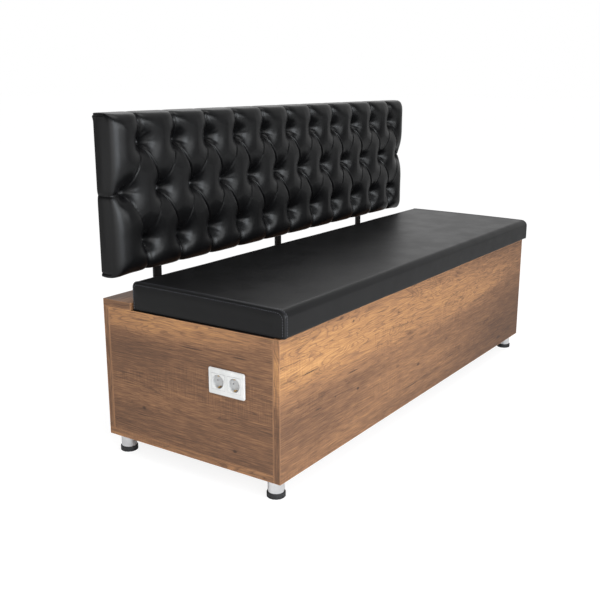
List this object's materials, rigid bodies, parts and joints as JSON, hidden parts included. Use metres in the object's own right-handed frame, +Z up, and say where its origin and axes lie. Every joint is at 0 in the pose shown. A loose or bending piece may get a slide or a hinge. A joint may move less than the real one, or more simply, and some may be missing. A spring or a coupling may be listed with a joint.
{
  "type": "storage bench",
  "caption": "Upholstered waiting bench: wood-look storage chest with a hinged padded lid, buttoned backrest on flat bars, levelling legs and a mains socket in one end.",
  "frame": {"origin": "on the floor, in the middle of the overall outline seen from above", "axes": "+X to the right seen from the front, +Y to the rear, +Z up"},
  "size_m": [1.5248, 0.5696, 0.878],
  "materials": {
    "brown_oak_laminate": "matt wood-grain laminate",
    "plywood": "raw",
    "black_leatherette": "semi-matt",
    "black_lining_cloth": "woven",
    "clear_rubber": "translucent",
    "zinc_plated_steel": "zinc plated",
    "black_painted_steel": "satin black",
    "chrome": "polished",
    "black_plastic": "moulded",
    "brass": "bright",
    "grey_plastic": "moulded",
    "white_plastic": "glossy"
  },
  "bodies": {
    "chest": {"back_bar_centre": "black_painted_steel", "back_bar_centre_screw_1": "black_painted_steel", "back_bar_centre_screw_2": "black_painted_steel", "back_bar_centre_screw_3": "black_painted_steel", "back_bar_centre_screw_4": "black_painted_steel", "back_bar_left": "black_painted_steel", "back_bar_left_screw_1": "black_painted_steel", "back_bar_left_screw_2": "black_painted_steel", "back_bar_left_screw_3": "black_painted_steel", "back_bar_left_screw_4": "black_painted_steel", "back_bar_right": "black_painted_steel", "back_bar_right_screw_1": "black_painted_steel", "back_bar_right_screw_2": "black_painted_steel", "back_bar_right_screw_3": "black_painted_steel", "back_bar_right_screw_4": "black_painted_steel", "back_panel": "brown_oak_laminate", "backrest_board": "plywood", "backrest_lining": "black_lining_cloth", "backrest_pad": "black_leatherette", "bottom_panel": "brown_oak_laminate", "centre_divider": "brown_oak_laminate", "front_panel": "brown_oak_laminate", "hinge_centre_pin": "zinc_plated_steel", "hinge_centre_strip_leaf": "zinc_plated_steel", "hinge_left_pin": "zinc_plated_steel", "hinge_left_strip_leaf": "zinc_plated_steel", "hinge_right_pin": "zinc_plated_steel", "hinge_right_strip_leaf": "zinc_plated_steel", "left_end_panel": "brown_oak_laminate", "leg_front_left_bush": "black_plastic", "leg_front_left_tube": "chrome", "leg_front_right_bush": "black_plastic", "leg_front_right_tube": "chrome", "leg_rear_left_bush": "black_plastic", "leg_rear_left_tube": "chrome", "leg_rear_right_bush": "black_plastic", "leg_rear_right_tube": "chrome", "lid_bumper_left": "clear_rubber", "lid_bumper_right": "clear_rubber", "rear_top_strip": "brown_oak_laminate", "right_end_panel": "brown_oak_laminate", "socket_back_box": "grey_plastic", "socket_frame": "white_plastic", "socket_front_earth_clip": "brass", "socket_front_module": "white_plastic", "socket_rear_earth_clip": "brass", "socket_rear_module": "white_plastic"},
    "lid": {"lid_board": "plywood", "seat_cushion": "black_leatherette", "hinge_left_lid_leaf": "zinc_plated_steel", "hinge_centre_lid_leaf": "zinc_plated_steel", "hinge_right_lid_leaf": "zinc_plated_steel"},
    "front_left_stem": {"leg_front_left_stem": "zinc_plated_steel"},
    "front_left_base": {"leg_front_left_base": "black_plastic"},
    "front_right_stem": {"leg_front_right_stem": "zinc_plated_steel"},
    "front_right_base": {"leg_front_right_base": "black_plastic"},
    "rear_left_stem": {"leg_rear_left_stem": "zinc_plated_steel"},
    "rear_left_base": {"leg_rear_left_base": "black_plastic"},
    "rear_right_stem": {"leg_rear_right_stem": "zinc_plated_steel"},
    "rear_right_base": {"leg_rear_right_base": "black_plastic"}
  },
  "joints": [
    {"name": "lid_lift", "type": "hinge", "parent": "chest", "child": "lid", "pos_m": [-0.0056, 0.1762, 0.4163], "axis": [-1, 0, 0], "range_deg": [0, 60]},
    {"name": "front_left_foot_out", "type": "slide", "parent": "chest", "child": "front_left_stem", "axis": [0, 0, -1], "range_m": [0, 0.01]},
    {"name": "front_left_foot_turn", "type": "hinge", "parent": "front_left_stem", "child": "front_left_base", "pos_m": [-0.7236, -0.2418, 0], "axis": [0, 0, 1], "range_deg": [0, 2880]},
    {"name": "front_right_foot_out", "type": "slide", "parent": "chest", "child": "front_right_stem", "axis": [0, 0, -1], "range_m": [0, 0.01]},
    {"name": "front_right_foot_turn", "type": "hinge", "parent": "front_right_stem", "child": "front_right_base", "pos_m": [0.7124, -0.2418, 0], "axis": [0, 0, 1], "range_deg": [0, 2880]},
    {"name": "rear_left_foot_out", "type": "slide", "parent": "chest", "child": "rear_left_stem", "axis": [0, 0, -1], "range_m": [0, 0.01]},
    {"name": "rear_left_foot_turn", "type": "hinge", "parent": "rear_left_stem", "child": "rear_left_base", "pos_m": [-0.7236, 0.2402, 0], "axis": [0, 0, 1], "range_deg": [0, 2880]},
    {"name": "rear_right_foot_out", "type": "slide", "parent": "chest", "child": "rear_right_stem", "axis": [0, 0, -1], "range_m": [0, 0.01]},
    {"name": "rear_right_foot_turn", "type": "hinge", "parent": "rear_right_stem", "child": "rear_right_base", "pos_m": [0.7124, 0.2402, 0], "axis": [0, 0, 1], "range_deg": [0, 2880]}
  ],
  "couplings": [
    {"joint": "front_left_foot_out", "follows": "front_left_foot_turn", "m_per_rad": 0.00019894},
    {"joint": "front_right_foot_out", "follows": "front_right_foot_turn", "m_per_rad": 0.00019894},
    {"joint": "rear_left_foot_out", "follows": "rear_left_foot_turn", "m_per_rad": 0.00019894},
    {"joint": "rear_right_foot_out", "follows": "rear_right_foot_turn", "m_per_rad": 0.00019894}
  ]
}
